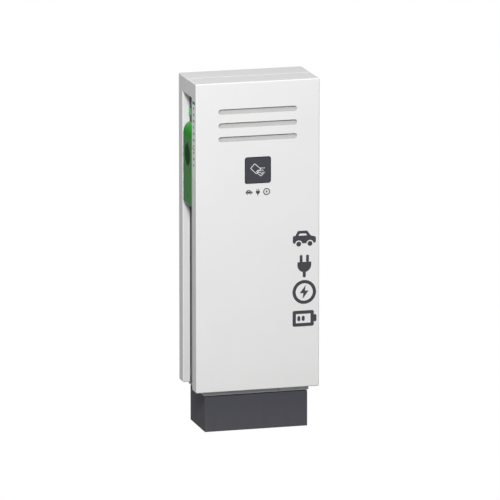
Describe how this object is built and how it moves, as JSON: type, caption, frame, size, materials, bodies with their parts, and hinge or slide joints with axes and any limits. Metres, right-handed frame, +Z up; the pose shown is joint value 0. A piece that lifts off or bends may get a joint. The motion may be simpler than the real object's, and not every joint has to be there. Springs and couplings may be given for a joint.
{
  "type": "ev charging post",
  "caption": "Free-standing twin-outlet charging post for electric cars: white sheet casing on a slate plinth, lidded socket in each side recess, card reader badge and vents in front.",
  "frame": {"origin": "on the ground, under the middle of the casing", "axes": "+Z up, the front panel faces -Y, +X to the right for someone who faces the front"},
  "size_m": [0.48, 0.248, 1.339],
  "materials": {
    "white_paint": "satin powder coat",
    "slate_paint": "fine-textured powder coat",
    "grey_paint": "satin powder coat",
    "green_plastic": "fine-grained moulding",
    "dark_green_plastic": "fine-grained moulding",
    "green_lens": "polished lens",
    "black_plastic": "moulded",
    "badge_plastic": "satin window",
    "light_plastic": "moulded",
    "red_plastic": "moulded",
    "zinc_steel": "zinc plated",
    "brass": "plain",
    "rubber": "soft seal"
  },
  "bodies": {
    "post": {"plinth": "slate_paint", "base_frame": "grey_paint", "rear_casing": "white_paint", "side_wall_left": "slate_paint", "side_wall_right": "slate_paint", "cabinet_floor": "zinc_steel", "cabinet_roof": "zinc_steel", "front_rim": "zinc_steel", "door_gasket": "rubber", "supply_gland": "black_plastic", "hinge_frame_leaf_0": "zinc_steel", "hinge_frame_leaf_1": "zinc_steel", "hinge_pin_0": "zinc_steel", "hinge_pin_1": "zinc_steel", "lock_keeper": "zinc_steel", "mounting_plate": "zinc_steel", "din_rail_lower": "zinc_steel", "din_rail_middle": "zinc_steel", "din_rail_upper": "zinc_steel", "charge_controller": "light_plastic", "power_supply": "black_plastic", "contactor_left": "light_plastic", "contactor_right": "light_plastic", "energy_meter_left": "light_plastic", "energy_meter_right": "light_plastic", "main_switch": "light_plastic", "breaker_left": "light_plastic", "breaker_right": "light_plastic", "terminal_block": "light_plastic", "earth_bar": "brass", "housing_left": "green_plastic", "housing_right": "green_plastic", "cover_screw_left": "black_plastic", "cover_screw_right": "black_plastic", "lid_pin_left": "zinc_steel", "lid_pin_right": "zinc_steel", "socket_left": "black_plastic", "socket_right": "black_plastic", "contact_block_left": "black_plastic", "contact_block_right": "black_plastic", "lock_actuator_left": "black_plastic", "lock_actuator_right": "black_plastic", "status_light_left": "green_lens", "status_light_right": "green_lens"},
    "door": {"door_panel": "white_paint", "door_stiffener": "zinc_steel", "vent_baffle": "light_plastic", "reader_badge": "badge_plastic", "card_reader": "black_plastic", "hinge_door_leaf_0": "zinc_steel", "hinge_door_leaf_1": "zinc_steel", "lock_body": "zinc_steel"},
    "cam": {"lock_cam": "zinc_steel"},
    "left_lid": {"lid_left": "dark_green_plastic"},
    "right_lid": {"lid_right": "dark_green_plastic"},
    "left_lock_pin": {"lock_pin_left": "zinc_steel"},
    "right_lock_pin": {"lock_pin_right": "zinc_steel"},
    "switch_knob": {"main_switch_knob": "red_plastic"},
    "left_lever": {"breaker_lever_left": "black_plastic"},
    "right_lever": {"breaker_lever_right": "black_plastic"}
  },
  "joints": [
    {"name": "door_hinge", "type": "hinge", "parent": "post", "child": "door", "pos_m": [0.2345, -0.0685, 0.75], "axis": [0, 0, 1], "range_deg": [0, 110]},
    {"name": "lock_turn", "type": "hinge", "parent": "door", "child": "cam", "pos_m": [-0.2295, -0.084, 0.66], "axis": [0, 1, 0], "range_deg": [0, 90]},
    {"name": "left_lid_hinge", "type": "hinge", "parent": "post", "child": "left_lid", "pos_m": [-0.2372, 0, 1.0905], "axis": [0, 1, 0], "range_deg": [0, 95], "stiffness_Nm_per_rad": 0.01, "springref_deg": -34.38},
    {"name": "right_lid_hinge", "type": "hinge", "parent": "post", "child": "right_lid", "pos_m": [0.2372, 0, 1.0905], "axis": [0, -1, 0], "range_deg": [0, 95], "stiffness_Nm_per_rad": 0.01, "springref_deg": -34.38},
    {"name": "left_pin_slide", "type": "slide", "parent": "post", "child": "left_lock_pin", "axis": [0, 0, -1], "range_m": [0, 0.008]},
    {"name": "right_pin_slide", "type": "slide", "parent": "post", "child": "right_lock_pin", "axis": [0, 0, -1], "range_m": [0, 0.008]},
    {"name": "switch_turn", "type": "hinge", "parent": "post", "child": "switch_knob", "pos_m": [-0.105, 0.025, 0.46], "axis": [0, 1, 0], "range_deg": [0, 90]},
    {"name": "left_lever_tilt", "type": "hinge", "parent": "post", "child": "left_lever", "pos_m": [-0.02, 0.0409, 0.46], "axis": [1, 0, 0], "range_deg": [0, 64]},
    {"name": "right_lever_tilt", "type": "hinge", "parent": "post", "child": "right_lever", "pos_m": [0.06, 0.0409, 0.46], "axis": [1, 0, 0], "range_deg": [0, 64]}
  ]
}
